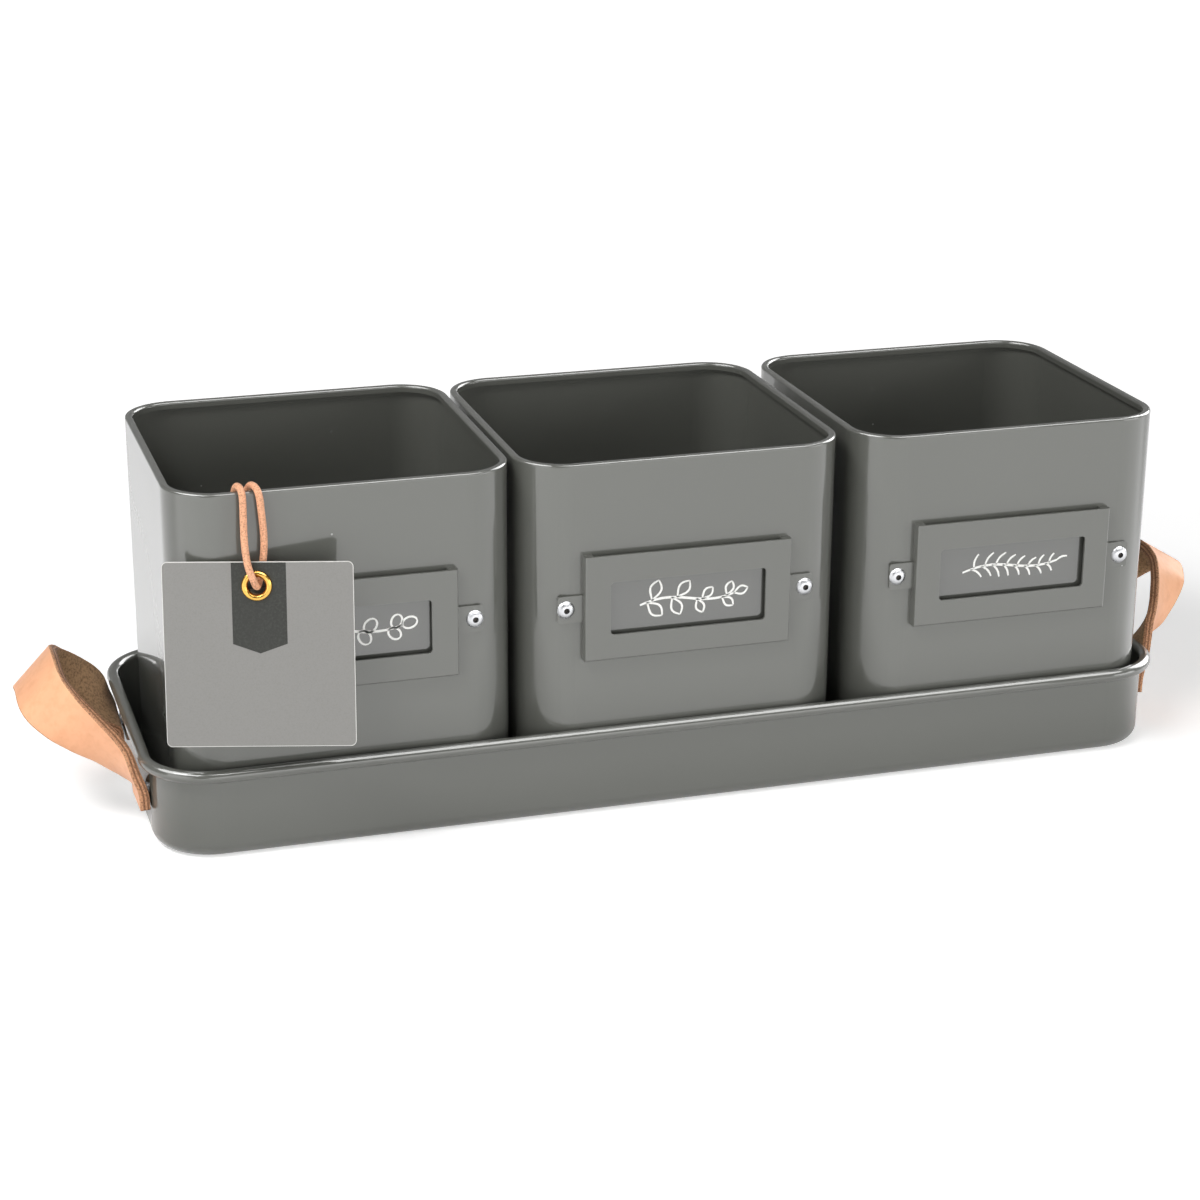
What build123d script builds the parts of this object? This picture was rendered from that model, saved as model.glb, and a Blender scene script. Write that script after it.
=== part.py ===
import os
from math import cos, pi, radians, sin, sqrt, tan

from build123d import *

# Three square pots in a tray with a rolled rim and two leather strap handles, lengths in
# millimetres. The origin is the middle of the tray's underside, +X runs along the row of
# pots and the label holders face -Y.

sheet = 0.9  # steel sheet of the tray and the pots
overrun = 2.0  # how far cutting shapes pass the faces that they cut
set_gap = 0.05  # between a set rivet or eyelet and its hole

# Pots
pot_size = 127.0
pot_height = 137.7
pot_corner = 19.2  # outer radius of the upright corners
pot_base_bend = 4.1  # inner radius between base and wall
hem_width = 3.0  # the rim is folded inwards
hem_depth = 2.7
hem_round = 1.0
drain_hole = 6.0
drain_spread = 72.0  # side of the square of four drain holes round the middle one
middle_pot_forward = 0.5

# Gaps that the pots leave in the tray, in order along the row
left_end_gap = 8.1
left_pot_gap = 1.85
right_pot_gap = 5.6
right_end_gap = 3.85
side_gap = 1.0

# Tray
tray_height = 35.6
tray_corner = 22.0  # inner radius of the upright corners
tray_base_bend = 4.4
bead_diameter = 4.8  # rolled rim, flush with the wall's inner face

# Label holders, one on the front of each pot
holder_from_corner = 3.8  # plate's side to the start of the pot's rounded corner
holder_height = 41.0
holder_sheet = 1.0
holder_proud = 3.6  # plate's front, from the pot's front face
holder_shift = 1.0  # holder's middle lies this far left of the pot's
holder_rise = 82.3  # holder's middle above the pot's underside
holder_bend = 0.8
return_length = 3.6  # folded corners at the two ends of the open top
window_from_side = 10.0  # window to the plate's side
window_height = 20.6
window_drop = 0.3
window_corner = 1.5
tab_reach = 9.9  # riveted ears, out from the plate's sides
tab_height = 10.5
tab_corner = 1.2

# Blind rivets through the ears
rivet_from_end = 3.25  # rivet's middle from the ear's end
rivet_diameter = 3.2
rivet_head = 6.7
rivet_head_height = 1.25
rivet_tail = 4.8
rivet_tail_length = 3.2
rivet_bore = 2.2
mandrel_diameter = 2.0
mandrel_recess = 0.9  # broken end of the mandrel below the head's top
mandrel_head = 3.0
mandrel_head_length = 1.3

# Label cards
card_height = 38.5
card_thickness = 0.8
card_corner = 1.0
card_gap = 0.3  # behind and below the card
card_side_gap = 0.4  # to the folded corners that the card slides between

# Leather strap handles
strap_width = 21.1
strap_thickness = 3.8
strap_gap = 0.4  # between the strap's foot and the tray's wall
strap_foot_height = 13.5  # middle of the strap's cut end above the table
strap_split_height = 23.0  # the loop swings above this height
strap_split_gap = 0.3
left_strap_from_corner = 7.5  # foot's middle to the start of the tray's rounded corner
left_strap_reach = 32.2  # apex of the loop, out from the foot
left_strap_rise = 40.5  # apex of the loop, above the cut end
right_strap_from_corner = 8.5
right_strap_reach = 29.7
right_strap_rise = 43.4

# Each station of a strap, from the front foot to the apex: out, across and up as shares of
# reach, half spacing and rise, then the turn of the strap's width towards the outside and
# its dip below level, in degrees.
left_strap_shares = [
    (0.00, 1.01, 0.00, 0, 3),
    (0.02, 1.00, 0.15, 1, 9),
    (0.13, 0.95, 0.29, 9, 20),
    (0.23, 0.90, 0.40, 19, 30),
    (0.36, 0.85, 0.51, 27, 37),
    (0.50, 0.80, 0.60, 35, 44),
    (0.63, 0.74, 0.68, 46, 48),
    (0.76, 0.68, 0.76, 58, 50),
    (0.87, 0.59, 0.84, 71, 49),
    (0.95, 0.47, 0.90, 80, 46),
    (0.99, 0.33, 0.95, 85, 45),
    (1.00, 0.00, 1.00, 90, 46),
]
right_strap_shares = [
    (0.00, 1.00, 0.00, 0, 2),
    (0.03, 0.98, 0.15, 1, 6),
    (0.12, 0.95, 0.30, 4, 12),
    (0.21, 0.90, 0.41, 10, 21),
    (0.31, 0.84, 0.50, 18, 31),
    (0.44, 0.79, 0.58, 29, 40),
    (0.56, 0.73, 0.66, 42, 45),
    (0.67, 0.64, 0.75, 54, 47),
    (0.77, 0.54, 0.83, 67, 47),
    (0.86, 0.43, 0.90, 78, 44),
    (0.93, 0.30, 0.95, 86, 39),
    (1.00, 0.00, 1.00, 90, 31),
]

# Strap rivets, put in from inside the tray and clinched inside the leather
strap_rivet_rise = 4.8  # above the strap's cut end
strap_rivet_diameter = 4.0
strap_rivet_head = 8.0
strap_rivet_head_height = 1.2
strap_rivet_depth = 2.5  # into the leather
strap_rivet_flare = 5.4
strap_rivet_flare_length = 1.0

# Swing tag, turned and leaning on its cord
tag_size = 67.4
tag_thickness = 0.9
tag_corner = 2.0
tag_turn = 15.3  # towards the left, degrees
tag_lean = 7.0  # lower edge outwards, degrees
tag_hole_drop = 8.6  # hole's middle below the tag's top edge
tag_hole_shift = 0.4  # hole's middle left of the tag's middle
tag_hole_left = 34.6  # hole's middle from the pot's middle
tag_hole_out = 6.9  # hole's middle from the pot's front face
tag_hole_height = 106.1  # hole's middle above the table
eyelet_bore = 6.4
eyelet_flange = 11.0
eyelet_proud = 1.2
eyelet_wall = 0.45
eyelet_lip = 9.0  # diameter of the edge rolled over the washer
eyelet_lip_thickness = 0.5
washer_diameter = 10.4
washer_thickness = 0.5

# Cord of the tag, a leather lace over the rim of the left pot with both ends in one knot
cord_diameter = 2.6
knot_diameter = 9.0  # a ball, flat above and below
knot_height = 7.0
knot_tail_length = 11.0
knot_tail_spread = 12.0  # degrees
cord_arc_share = 0.45  # of the shorter run beside each arc
# Points of the cord's route from the knot and back to it: across from the left pot's middle,
# back from its front face, and up from the table.
cord_route = [
    (-40.0, 8.0, 98.0),
    (-40.0, 8.0, 106.0),
    (-40.5, 6.2, 118.5),
    (-40.2, 4.7, 131.0),
    (-39.0, 4.7, 140.6),
    (-37.7, -3.2, 140.6),
    (-37.8, -3.4, 131.0),
    (-38.1, -4.8, 121.0),
    (-37.6, -7.5, 113.5),
    (-36.2, -10.0, 109.2),
    (-34.6, -7.2, 105.3),
    (-33.0, -2.8, 105.9),
    (-31.4, -3.1, 112.8),
    (-30.6, -3.3, 121.5),
    (-31.2, -3.1, 131.0),
    (-32.0, -3.2, 140.6),
    (-34.4, 4.7, 140.6),
    (-35.6, 4.7, 131.5),
    (-36.6, 6.3, 118.5),
    (-37.0, 8.0, 106.0),
    (-37.0, 8.0, 98.0),
]

# Places that follow from the sizes above
tray_inner_length = (
    left_end_gap + left_pot_gap + right_pot_gap + right_end_gap + 3 * pot_size
)
tray_inner_width = pot_size + 2 * side_gap
tray_half_inner = tray_inner_length / 2
end_wall_flat = tray_inner_width - 2 * tray_corner
left_strap_spacing = end_wall_flat - 2 * left_strap_from_corner
right_strap_spacing = end_wall_flat - 2 * right_strap_from_corner
left_pot_x = left_end_gap + pot_size / 2 - tray_half_inner
middle_pot_x = left_pot_x + pot_size + left_pot_gap
right_pot_x = middle_pot_x + pot_size + right_pot_gap
pot_places = {
    "left": (left_pot_x, 0),
    "middle": (middle_pot_x, -middle_pot_forward),
    "right": (right_pot_x, 0),
}
holder_width = pot_size - 2 * (pot_corner + holder_from_corner)
window_width = holder_width - 2 * window_from_side
rivet_offset = holder_width / 2 + tab_reach - rivet_from_end

os.makedirs("parts", exist_ok=True)


def save(piece, name):
    piece.part.label = name
    export_step(piece.part, f"parts/{name}.step")


def corner_fall(offset, radius):
    """How far a wall with rounded corners falls back at an offset from its middle."""
    past = max(offset - (pot_size / 2 - pot_corner), 0)
    return radius - sqrt(radius**2 - past**2)


# Tray: a pan, and a rim section swept round its inner face
rim_start = tray_height - 2 * bead_diameter
bead_radius = bead_diameter / 2
bead_height = tray_height - bead_radius
bead_meets_wall = bead_height - sqrt(bead_radius**2 - (bead_radius - sheet) ** 2)


def tray_outline(out):
    RectangleRounded(
        tray_inner_length + 2 * out, tray_inner_width + 2 * out, tray_corner + out
    )


def strap_wall_holes(side, spacing):
    """Holes for the two strap rivets, seen along the row."""
    height = strap_foot_height + strap_rivet_rise
    with Locations((0, height)):
        with GridLocations(spacing, 0, 2, 1):
            Circle(strap_rivet_diameter / 2 + set_gap)


with BuildPart() as tray:
    with BuildSketch():
        tray_outline(sheet)
    extrude(amount=rim_start)
    fillet(tray.edges().group_by(Axis.Z)[0], radius=tray_base_bend + sheet)
    offset(amount=-sheet, openings=tray.faces().sort_by(Axis.Z)[-1])
    half_width = tray_inner_width / 2
    with BuildLine(Plane.XY.offset(rim_start)) as rim_path:
        FilletPolyline(
            (-tray_half_inner, -half_width),
            (tray_half_inner, -half_width),
            (tray_half_inner, half_width),
            (-tray_half_inner, half_width),
            radius=tray_corner,
            close=True,
        )
    along = rim_path.line % 0
    outward = along.cross(Vector(0, 0, 1))
    with BuildSketch(Plane(rim_path.line @ 0, x_dir=outward, z_dir=-along)):
        with BuildLine():
            up = bead_height - rim_start
            meet = bead_meets_wall - rim_start
            Line((0, 0), (0, up))
            RadiusArc((0, up), (bead_diameter, up), bead_radius)
            ThreePointArc(
                (bead_diameter, up), (bead_radius, up - bead_radius), (sheet, meet)
            )
            Polyline((sheet, meet), (sheet, 0), (0, 0))
        make_face()
    sweep(path=rim_path.line)
    for side, spacing in ((-1, left_strap_spacing), (1, right_strap_spacing)):
        wall = Plane((side * tray_half_inner, 0, 0), x_dir=(0, side, 0), z_dir=(side, 0, 0))
        with BuildSketch(wall.offset(-overrun)):
            strap_wall_holes(side, spacing)
        extrude(amount=sheet + 2 * overrun, mode=Mode.SUBTRACT)
save(tray, "tray")


# Pots, each with a folded hem, five drain holes and two rivet holes
def pot_outline(inset, mode=Mode.ADD):
    size = pot_size - 2 * inset
    RectangleRounded(size, size, pot_corner - inset, mode=mode)


def holder_plane(place):
    """The pot's front face at the middle of its label holder, with Y up and Z out."""
    return Plane(
        (place[0] - holder_shift, place[1] - pot_size / 2, sheet + holder_rise),
        x_dir=(1, 0, 0),
        z_dir=(0, -1, 0),
    )


def rivet_holes():
    with GridLocations(2 * rivet_offset, 0, 2, 1):
        Circle(rivet_diameter / 2 + set_gap)


def make_pot(name, place):
    base = Plane((*place, sheet))
    with BuildPart() as pot:
        with BuildSketch(base):
            pot_outline(0)
        extrude(amount=pot_height - hem_depth)
        fillet(pot.edges().group_by(Axis.Z)[0], radius=pot_base_bend + sheet)
        offset(amount=-sheet, openings=pot.faces().sort_by(Axis.Z)[-1])
        with BuildSketch(base.offset(pot_height)):
            pot_outline(0)
            pot_outline(hem_width, Mode.SUBTRACT)
        extrude(amount=-hem_depth)
        fillet(pot.edges().group_by(Axis.Z)[-1], radius=hem_round)
        with BuildSketch(base):
            Circle(drain_hole / 2)
            with GridLocations(drain_spread, drain_spread, 2, 2):
                Circle(drain_hole / 2)
        extrude(amount=sheet, mode=Mode.SUBTRACT)
        with BuildSketch(holder_plane(place)):
            rivet_holes()
        extrude(amount=-2 * hem_width, mode=Mode.SUBTRACT)
    save(pot, name)


# Label holders: a folded plate with a window, open at the top, riveted by its two ears
def make_holder(name, place):
    face = holder_plane(place)
    slot_depth = holder_proud - holder_sheet
    with BuildPart() as holder:
        with BuildSketch(face):
            Rectangle(holder_width, holder_height)
        extrude(amount=holder_proud)
        with BuildSketch(face):
            with Locations((0, holder_sheet)):
                Rectangle(holder_width - 2 * holder_sheet, holder_height)
        extrude(amount=slot_depth, mode=Mode.SUBTRACT)
        plate_front = holder.faces().filter_by(Axis.Y).sort_by(Axis.Y)[0]
        fillet(plate_front.edges().sort_by(Axis.Z)[:-1], radius=holder_bend)
        with BuildSketch(face):
            with Locations((0, holder_height / 2)):
                with GridLocations(holder_width - return_length, 0, 2, 1):
                    Rectangle(return_length, holder_sheet, align=(Align.CENTER, Align.MAX))
        extrude(amount=slot_depth)
        ear_length = tab_reach + holder_sheet
        with BuildSketch(face):
            with GridLocations(holder_width - 2 * holder_sheet + ear_length, 0, 2, 1):
                Rectangle(ear_length, tab_height)
        extrude(amount=holder_sheet)
        ear_corners = holder.edges().filter_by(Axis.Y).group_by(Axis.X)
        fillet(ear_corners[0] + ear_corners[-1], radius=tab_corner)
        with BuildSketch(face.offset(holder_proud)):
            with Locations((0, -window_drop)):
                RectangleRounded(window_width, window_height, window_corner)
        extrude(amount=-holder_sheet, mode=Mode.SUBTRACT)
        with BuildSketch(face):
            rivet_holes()
        extrude(amount=holder_sheet, mode=Mode.SUBTRACT)
    save(holder, name)


# Blind rivets, and the broken mandrels inside them
def rivet_seats(place):
    """Planes with X across and Y along each rivet, and where its tail meets the wall."""
    middle = holder_plane(place).origin
    for side in (-1, 1):
        from_middle = rivet_offset - side * holder_shift
        tail_seat = sheet + corner_fall(from_middle + rivet_tail / 2, pot_corner - sheet)
        origin = middle + Vector(side * rivet_offset, 0, 0)
        seat = Plane(origin, x_dir=(1, 0, 0), z_dir=(0, 0, -1))
        yield seat, tail_seat


def make_rivets(name, place):
    with BuildPart() as rivets:
        for seat, tail_seat in rivet_seats(place):
            bore = rivet_bore / 2
            tail = rivet_tail / 2
            tail_end = -tail_seat - rivet_tail_length
            head_top = holder_sheet + rivet_head_height
            with BuildSketch(seat):
                with BuildLine():
                    crown = Line((bore, tail_end), (bore, head_top)) @ 1
                    ThreePointArc(
                        crown,
                        (bore + (rivet_head / 2 - bore) / 2, head_top - rivet_head_height / 4),
                        (rivet_head / 2, holder_sheet),
                    )
                    Polyline(
                        (rivet_head / 2, holder_sheet),
                        (rivet_diameter / 2, holder_sheet),
                        (rivet_diameter / 2, -tail_seat),
                        (tail, -tail_seat),
                        (tail, tail_end + tail - bore),
                    )
                    RadiusArc((bore, tail_end), (tail, tail_end + tail - bore), bore - tail)
                make_face()
            revolve(axis=Axis(seat.origin, seat.y_dir))
    save(rivets, name)


def make_mandrels(name, place):
    with BuildPart() as mandrels:
        for seat, tail_seat in rivet_seats(place):
            tail_end = tail_seat + rivet_tail_length
            recess = holder_sheet + rivet_head_height - mandrel_recess
            along_rivet = Plane(seat.origin, x_dir=(1, 0, 0), z_dir=(0, -1, 0))
            with BuildSketch(along_rivet.offset(-tail_end)):
                Circle(mandrel_diameter / 2)
            extrude(amount=tail_end + recess)
            with BuildSketch(along_rivet.offset(-tail_end)):
                Circle(mandrel_head / 2)
            extrude(amount=-mandrel_head_length)
        head_ends = mandrels.edges().group_by(Axis.Y)[-1]
        fillet(head_ends, radius=mandrel_head / 8)
    save(mandrels, name)


# Label cards, free to slide up between the folded corners of their holders
def make_card(name, place):
    face = holder_plane(place)
    width = holder_width - 2 * (return_length + card_side_gap)
    bottom = holder_sheet + card_gap - holder_height / 2
    with BuildPart() as card:
        with BuildSketch(face.offset(card_gap)):
            with Locations((0, bottom + card_height / 2)):
                RectangleRounded(width, card_height, card_corner)
        extrude(amount=card_thickness)
    save(card, name)


for row_name, pot_place in pot_places.items():
    make_pot(f"pot_{row_name}", pot_place)
    make_holder(f"label_holder_{row_name}", pot_place)
    make_rivets(f"label_rivets_{row_name}", pot_place)
    make_mandrels(f"rivet_mandrels_{row_name}", pot_place)
    make_card(f"label_card_{row_name}", pot_place)


# Strap handles: each strap is one band, lofted through its stations and split where it swings
def strap_planes(side, shares, spacing, reach, rise):
    """Planes across the strap from its front foot to its rear one, X along its width."""
    foot = tray_half_inner + sheet + strap_gap + strap_thickness / 2
    half = [
        (
            Vector(
                side * (foot + out * reach),
                -across * spacing / 2,
                strap_foot_height + up * rise,
            ),
            Vector(
                side * sin(radians(turn)) * cos(radians(dip)),
                cos(radians(turn)) * cos(radians(dip)),
                -sin(radians(dip)),
            ),
        )
        for out, across, up, turn, dip in shares
    ]
    mirrored = [
        (Vector(p.X, -p.Y, p.Z), Vector(w.X, -w.Y, w.Z)) for p, w in reversed(half[:-1])
    ]
    stations = half + mirrored
    for index, (point, width_way) in enumerate(stations):
        before = stations[max(index - 1, 0)][0]
        after = stations[min(index + 1, len(stations) - 1)][0]
        yield Plane(point, x_dir=width_way, z_dir=width_way.cross(after - before).cross(width_way))


def shank_outline(grow):
    """Half outline of a strap rivet's shank and flare, grown by a clearance."""
    shank = strap_rivet_diameter / 2 + grow
    flare = strap_rivet_flare / 2 + grow
    end = sheet + strap_gap + strap_rivet_depth + grow
    return (0, 0), (shank, 0), (shank, end - strap_rivet_flare_length), (flare, end), (0, end)


def strap_rivet_planes(side, spacing):
    """Planes on the wall's inner face with X along the wall and Y out through it."""
    height = strap_foot_height + strap_rivet_rise
    for across in (-spacing / 2, spacing / 2):
        yield Plane(
            (side * tray_half_inner, across, height), x_dir=(0, 1, 0), z_dir=(0, 0, -side)
        )


def make_strap(name, side, shares, spacing, reach, rise):
    with BuildPart() as band:
        for plane in strap_planes(side, shares, spacing, reach, rise):
            with BuildSketch(plane):
                Rectangle(strap_width, strap_thickness)
        loft()
    with BuildPart() as loop:
        add(band.part)
        split(
            bisect_by=Plane.XY.offset(strap_split_height + strap_split_gap / 2), keep=Keep.TOP
        )
    save(loop, f"{name}_strap_loop")
    with BuildPart() as feet:
        add(band.part)
        split(
            bisect_by=Plane.XY.offset(strap_split_height - strap_split_gap / 2),
            keep=Keep.BOTTOM,
        )
        for plane in strap_rivet_planes(side, spacing):
            with BuildSketch(plane):
                with BuildLine():
                    Polyline(*shank_outline(set_gap), close=True)
                make_face()
            revolve(axis=Axis(plane.origin, plane.y_dir), mode=Mode.SUBTRACT)
    for foot_name, foot_solid in zip(("front", "rear"), feet.solids().sort_by(Axis.Y)):
        with BuildPart() as foot:
            add(foot_solid)
        save(foot, f"{name}_strap_{foot_name}_foot")
    with BuildPart() as rivets:
        head = strap_rivet_head / 2
        dome_radius = (head**2 / strap_rivet_head_height + strap_rivet_head_height) / 2
        for plane in strap_rivet_planes(side, spacing):
            with BuildSketch(plane):
                with BuildLine():
                    Polyline(*shank_outline(0), close=True)
                make_face()
            revolve(axis=Axis(plane.origin, plane.y_dir))
            with BuildSketch(plane):
                with BuildLine():
                    RadiusArc((0, -strap_rivet_head_height), (head, 0), dome_radius)
                    Polyline((0, -strap_rivet_head_height), (0, 0), (head, 0))
                make_face()
            revolve(axis=Axis(plane.origin, plane.y_dir))
    save(rivets, f"{name}_strap_rivets")


make_strap(
    "left", -1, left_strap_shares, left_strap_spacing, left_strap_reach, left_strap_rise
)
make_strap(
    "right", 1, right_strap_shares, right_strap_spacing, right_strap_reach, right_strap_rise
)

# Swing tag, on a plane through its hole with X across, Y up and Z out of its front
tag_yaw = radians(tag_turn)
tag_pitch = radians(tag_lean)
pot_front = -pot_size / 2
tag_front = Plane(
    (left_pot_x - tag_hole_left, pot_front - tag_hole_out, tag_hole_height),
    x_dir=(cos(tag_yaw), -sin(tag_yaw), 0),
    z_dir=(
        -sin(tag_yaw) * cos(tag_pitch),
        -cos(tag_yaw) * cos(tag_pitch),
        sin(tag_pitch),
    ),
)
barrel_radius = eyelet_bore / 2 + eyelet_wall
washer_back = tag_thickness + washer_thickness

with BuildPart() as swing_tag:
    with BuildSketch(tag_front):
        with Locations((tag_hole_shift, tag_hole_drop - tag_size / 2)):
            RectangleRounded(tag_size, tag_size, tag_corner)
        Circle(barrel_radius + set_gap, mode=Mode.SUBTRACT)
    extrude(amount=-tag_thickness)
save(swing_tag, "swing_tag")

# Eyelet: a rolled flange in front, a barrel through the tag and a lip over the washer
turning_plane = Plane(tag_front.origin, x_dir=tag_front.x_dir, z_dir=-tag_front.y_dir)
with BuildPart() as tag_eyelet:
    with BuildSketch(turning_plane):
        with BuildLine():
            bore = eyelet_bore / 2
            back = -washer_back - eyelet_lip_thickness
            flange = eyelet_flange / 2
            Line((bore, 0), (bore, back))
            Polyline(
                (bore, back),
                (eyelet_lip / 2, back),
                (eyelet_lip / 2, -washer_back),
                (barrel_radius, -washer_back),
                (barrel_radius, 0),
                (flange, 0),
            )
            ThreePointArc((bore, 0), ((bore + flange) / 2, eyelet_proud), (flange, 0))
        make_face()
    revolve(axis=Axis(tag_front.origin, tag_front.z_dir))
save(tag_eyelet, "tag_eyelet")

with BuildPart() as eyelet_washer:
    with BuildSketch(tag_front.offset(-tag_thickness)):
        Circle(washer_diameter / 2)
        Circle(barrel_radius + set_gap, mode=Mode.SUBTRACT)
    extrude(amount=-washer_thickness)
save(eyelet_washer, "eyelet_washer")

# Cord: each arc is as large as its two runs allow
route = [
    Vector(left_pot_x + across, pot_front + back, up) for across, back, up in cord_route
]
run_ways = [after - before for before, after in zip(route, route[1:])]
cord_radii = [
    cord_arc_share * min(a.length, b.length) / tan(radians(a.get_angle(b)) / 2)
    for a, b in zip(run_ways, run_ways[1:])
]
with BuildPart() as tag_cord:
    with BuildLine() as cord_line:
        FilletPolyline(*route, radius=cord_radii)
    with BuildSketch(Plane(cord_line.line @ 0, z_dir=cord_line.line % 0)):
        Circle(cord_diameter / 2)
    sweep(path=cord_line.line)
save(tag_cord, "tag_cord")
print("cord length", round(cord_line.wires()[0].length, 1))
print("cord radii", [round(radius, 1) for radius in cord_radii])
section_times_length = pi * cord_diameter**2 / 4 * cord_line.wires()[0].length
print("cord volume against section and length", tag_cord.part.volume / section_times_length)

# Knot under the cord's two ends, with its two short tails
knot_top = (route[0] + route[-1]) / 2
with BuildPart() as tag_knot:
    with BuildSketch(Plane(knot_top, x_dir=(1, 0, 0), z_dir=(0, -1, 0))):
        with BuildLine():
            radius = knot_diameter / 2
            flat = sqrt(radius**2 - (knot_height / 2) ** 2)
            Polyline((flat, -knot_height), (0, -knot_height), (0, 0), (flat, 0))
            ThreePointArc((flat, 0), (radius, -knot_height / 2), (flat, -knot_height))
        make_face()
    revolve(axis=Axis(knot_top, (0, 0, 1)))
    for side in (-1, 1):
        spread = radians(side * knot_tail_spread)
        start = knot_top + Vector(side * cord_diameter / 2, 0, -knot_height / 2)
        way = Vector(sin(spread), 0, -cos(spread))
        with BuildSketch(Plane(start, z_dir=way)):
            Circle(cord_diameter / 2)
        extrude(amount=knot_height / 2 + knot_tail_length)
save(tag_knot, "tag_knot")
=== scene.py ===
import math
import random

import bmesh
import bpy
from mathutils import Matrix, Vector, noise


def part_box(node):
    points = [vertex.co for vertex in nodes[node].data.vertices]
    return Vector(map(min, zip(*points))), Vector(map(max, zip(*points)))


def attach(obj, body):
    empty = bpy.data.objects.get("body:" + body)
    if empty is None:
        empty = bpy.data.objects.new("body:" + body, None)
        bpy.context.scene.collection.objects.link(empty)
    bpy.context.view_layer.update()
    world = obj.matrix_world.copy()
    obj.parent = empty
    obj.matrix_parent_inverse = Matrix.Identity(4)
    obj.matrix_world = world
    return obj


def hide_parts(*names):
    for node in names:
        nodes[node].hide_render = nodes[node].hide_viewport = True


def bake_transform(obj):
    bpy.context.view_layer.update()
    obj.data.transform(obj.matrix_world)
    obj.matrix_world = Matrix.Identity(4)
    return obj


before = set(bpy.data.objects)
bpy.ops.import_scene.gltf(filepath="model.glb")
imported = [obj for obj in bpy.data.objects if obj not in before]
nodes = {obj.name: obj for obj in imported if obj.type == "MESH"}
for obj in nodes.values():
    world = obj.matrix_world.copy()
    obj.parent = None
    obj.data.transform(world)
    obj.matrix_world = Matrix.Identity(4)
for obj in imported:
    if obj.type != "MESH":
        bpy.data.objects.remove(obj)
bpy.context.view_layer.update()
mm = 0.001
rows = ("left", "middle", "right")
print("frame loaded")

# Camera, in the frame of the model: the table is z = 0 and the tray's middle is the origin
camera = {
    "place": (-0.31265, -0.95681, 0.42236),
    "yaw": 17.307,
    "pitch": 19.807,
    "roll": 0.353,
    "lens": 80.46,
    "sensor": 36.0,
    "clip": (0.01, 50),
}


def placeCamera(settings):
    yaw, pitch, roll = (math.radians(settings[key]) for key in ("yaw", "pitch", "roll"))
    forward = Vector(
        (math.sin(yaw) * math.cos(pitch), math.cos(yaw) * math.cos(pitch), -math.sin(pitch))
    )
    level = Vector((math.cos(yaw), -math.sin(yaw), 0))
    raised = level.cross(forward)
    right = level * math.cos(roll) + raised * math.sin(roll)
    up = raised * math.cos(roll) - level * math.sin(roll)
    turn = Matrix((right, up, -forward)).transposed()
    data = bpy.data.cameras.new("camera")
    data.lens = settings["lens"]
    data.sensor_width = settings["sensor"]
    data.clip_start, data.clip_end = settings["clip"]
    view = bpy.data.objects.new("camera", data)
    view.matrix_world = Matrix.Translation(settings["place"]) @ turn.to_4x4()
    bpy.context.scene.collection.objects.link(view)
    bpy.context.scene.camera = view


placeCamera(camera)
bpy.context.scene.view_settings.view_transform = "Standard"
print("camera placed")


# Small tools for objects and shader trees
def newObject(name, data):
    piece = bpy.data.objects.new(name, data)
    bpy.context.scene.collection.objects.link(piece)
    return piece


def meshFrom(name, build):
    mesh = bpy.data.meshes.new(name)
    shape = bmesh.new()
    build(shape)
    bmesh.ops.recalc_face_normals(shape, faces=shape.faces)
    shape.to_mesh(mesh)
    shape.free()
    return mesh


def feed(tree, socket, value):
    if isinstance(value, bpy.types.NodeSocket):
        tree.links.new(value, socket)
    else:
        socket.default_value = value


def addNode(tree, kind, inputs=None, **settings):
    node = tree.nodes.new(kind)
    for key, value in settings.items():
        setattr(node, key, value)
    for key, value in (inputs or {}).items():
        feed(tree, node.inputs[key], value)
    return node


def wire(tree, node, links):
    for label, output in links.items():
        tree.links.new(output, node.inputs[label])


def mathNode(tree, operation, first, second=0.0):
    node = addNode(tree, "ShaderNodeMath", {0: first, 1: second}, operation=operation)
    return node.outputs[0]


def vectorNode(tree, operation, *vectors, output=0):
    inputs = dict(enumerate(vectors))
    return addNode(tree, "ShaderNodeVectorMath", inputs, operation=operation).outputs[output]


def mixColour(tree, share, first, second):
    inputs = {0: share, 6: first, 7: second}
    return addNode(tree, "ShaderNodeMix", inputs, data_type="RGBA").outputs[2]


def remap(tree, value, fromLow, fromHigh, toLow, toHigh):
    inputs = {
        "Value": value,
        "From Min": fromLow,
        "From Max": fromHigh,
        "To Min": toLow,
        "To Max": toHigh,
    }
    return addNode(tree, "ShaderNodeMapRange", inputs).outputs["Result"]


# A colour as a screen shows it, 0 to 255, made linear
def colour(red, green, blue):
    linear = [
        ((c / 255 + 0.055) / 1.055) ** 2.4 if c > 10 else c / 3295 for c in (red, green, blue)
    ]
    return (*linear, 1.0)


def newGroup(name, inputs, outputs):
    group = bpy.data.node_groups.new(name, "ShaderNodeTree")
    for label, kind, value in inputs:
        socket = group.interface.new_socket(name=label, in_out="INPUT", socket_type=kind)
        socket.default_value = value
    for label, kind in outputs:
        group.interface.new_socket(name=label, in_out="OUTPUT", socket_type=kind)
    start = group.nodes.new("NodeGroupInput")
    end = group.nodes.new("NodeGroupOutput")
    return group, start, end


def newMaterial(name, **settings):
    material = bpy.data.materials.new(name)
    material.use_nodes = True
    tree = material.node_tree
    shader = tree.nodes["Principled BSDF"]
    for key, value in settings.items():
        shader.inputs[key].default_value = value
    return material, tree, shader


def useGroup(tree, group, **values):
    node = tree.nodes.new("ShaderNodeGroup")
    node.node_tree = group
    for label, value in values.items():
        feed(tree, node.inputs[label], value)
    return node


number, shade, direction = "NodeSocketFloat", "NodeSocketColor", "NodeSocketVector"


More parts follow.
